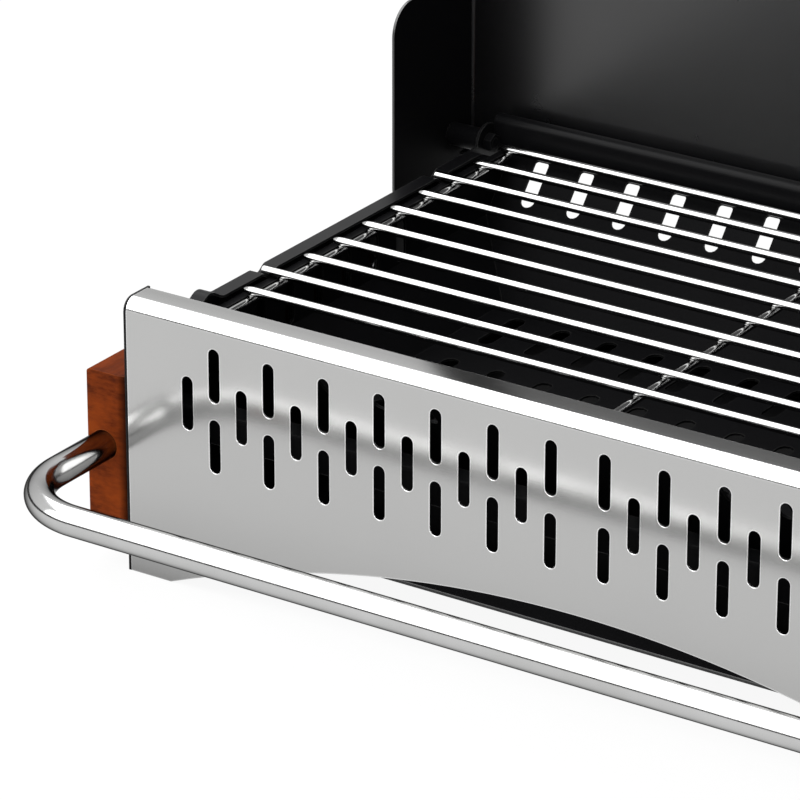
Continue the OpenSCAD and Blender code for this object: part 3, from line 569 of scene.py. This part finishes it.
bar_low, bar_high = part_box("grate_bars")
long_low, long_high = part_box("grate_long_bars")
wire_low, wire_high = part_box("grate_cross_wires")
bar_radius = (bar_high.z - bar_low.z) / 2
wire_radius = (wire_high.z - wire_low.z) / 2
bar_z = (bar_low.z + bar_high.z) / 2
wire_z = (wire_low.z + wire_high.z) / 2
bar_pitch = (long_high.y - long_low.y - 2 * bar_radius) / (long_bars[1] - long_bars[0])
last_y = bar_high.y - bar_radius
bar_ys = [bar_low.y + bar_radius]
bar_ys += [last_y - (bar_count - 1 - i) * bar_pitch for i in range(1, bar_count)]
short_bm, long_bm = bmesh.new(), bmesh.new()
for i, y in enumerate(bar_ys):
    if i in long_bars:
        add_rod(long_bm, Vector((long_low.x, y, bar_z)), Vector((long_high.x, y, bar_z)),
                bar_radius, bar_radius * tip_share)
    else:
        add_rod(short_bm, Vector((bar_low.x, y, bar_z)), Vector((bar_high.x, y, bar_z)),
                bar_radius, bar_radius * taper_share)
for bm in (short_bm, long_bm):
    bmesh.ops.remove_doubles(bm, verts=bm.verts, dist=merge_gap)
grate_steel = bright_metal("drawn grate wire", bright_tone, bright_dull, low=0.09, high=0.16,
                           scratch=0.04)
make_piece("grate_bars_drawn", short_bm, grate_steel, "case", ["grate_bars"])
make_piece("grate_long_bars_drawn", long_bm, grate_steel, "case", ["grate_long_bars"])

wire_xs = (wire_low.x + wire_radius, middle_wire_x, wire_high.x - wire_radius)
bm = bmesh.new()
for x in wire_xs:
    add_rod(bm, Vector((x, wire_low.y, wire_z)), Vector((x, wire_high.y, wire_z)),
            wire_radius, wire_radius * tip_share)
bmesh.ops.remove_doubles(bm, verts=bm.verts, dist=merge_gap)
make_piece("grate_cross_wires_drawn", bm, grate_steel, "case", ["grate_cross_wires"])

weld_z = (bar_z - bar_radius + wire_z + wire_radius) / 2
bm = bmesh.new()
for x in wire_xs:
    for y in bar_ys:
        place = Matrix.Translation((x, y, weld_z))
        size = Matrix.Diagonal((weld_width, weld_width, weld_height, 1))
        bmesh.ops.create_icosphere(bm, subdivisions=2, radius=0.5, matrix=place @ size)
weld_steel = bright_metal("weld", bright_dull, bright_dull, low=0.3, high=0.45, scratch=0.3)
make_piece("grate_welds", bm, weld_steel, "case", [])


# Lid: a deep sheet tray with a hinge wing on each side and a lip that meets the case's
# front edge. Outside it has a black coating like the case's. Inside the coat is glossier
# on the broad wall, and it is flattest on the side walls and wings.
side_facing = 0.9
outer_facing = 0.3
rim_band = 0.004
lid_paint = painted_steel("lid powder coat", low=0.26, high=0.31, peel=0.05, sheen=0.9)
wing_paint = painted_steel("flat lid coat", low=0.45, high=0.55, peel=0.05, sheen=0.02)
lid = make_piece("lid_shell_sheet", break_edges(merged_copy("lid_shell"), sheet_edge),
                 lid_paint, "lid", ["lid_shell"])
outer_paint = painted_steel("outer lid coat", low=0.34, high=0.42, peel=0.08, sheen=0.06)
lid.data.materials.append(wing_paint)
lid.data.materials.append(outer_paint)
lid_top = max(corner.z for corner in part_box("lid_shell"))
for face in lid.data.polygons:
    if abs(face.normal.x) > side_facing:
        face.material_index = 1
    elif face.normal.y > outer_facing or face.center.z > lid_top - rim_band:
        face.material_index = 2


# Fasteners: zinc plated screws from inside the case into the blocks, cross pins through
# the handle's arms and rivets of the tray's pull. The bolts, spacers, washers and nuts
# that the lid turns on are blackened.
fastener_edge = 0.0002
zinc_tone = (0.50, 0.51, 0.52, 1)
zinc_dull = (0.38, 0.38, 0.37, 1)
zinc = bright_metal("zinc plate", zinc_tone, zinc_dull, low=0.22, high=0.34, scratch=0.06)
blackened = painted_steel("blackened hardware", low=0.3, high=0.45, peel=0.03, sheen=0.04)
for body, slot, finish, word, nodes in (
        ("case", "zinc_steel", zinc, "_plated", ("block_screws", "handle_pins")),
        ("ash_drawer", "zinc_steel", zinc, "_plated", ("pull_rivets",)),
        ("case", "black_steel", blackened, "_blackened",
         ("left_pivot_bolt", "right_pivot_bolt", "left_pivot_nut", "right_pivot_nut",
          "left_pivot_spacer", "right_pivot_spacer", "pivot_washers"))):
    for node in nodes:
        make_piece(node + word, break_edges(merged_copy(node), fastener_edge), finish,
                   body, [node])
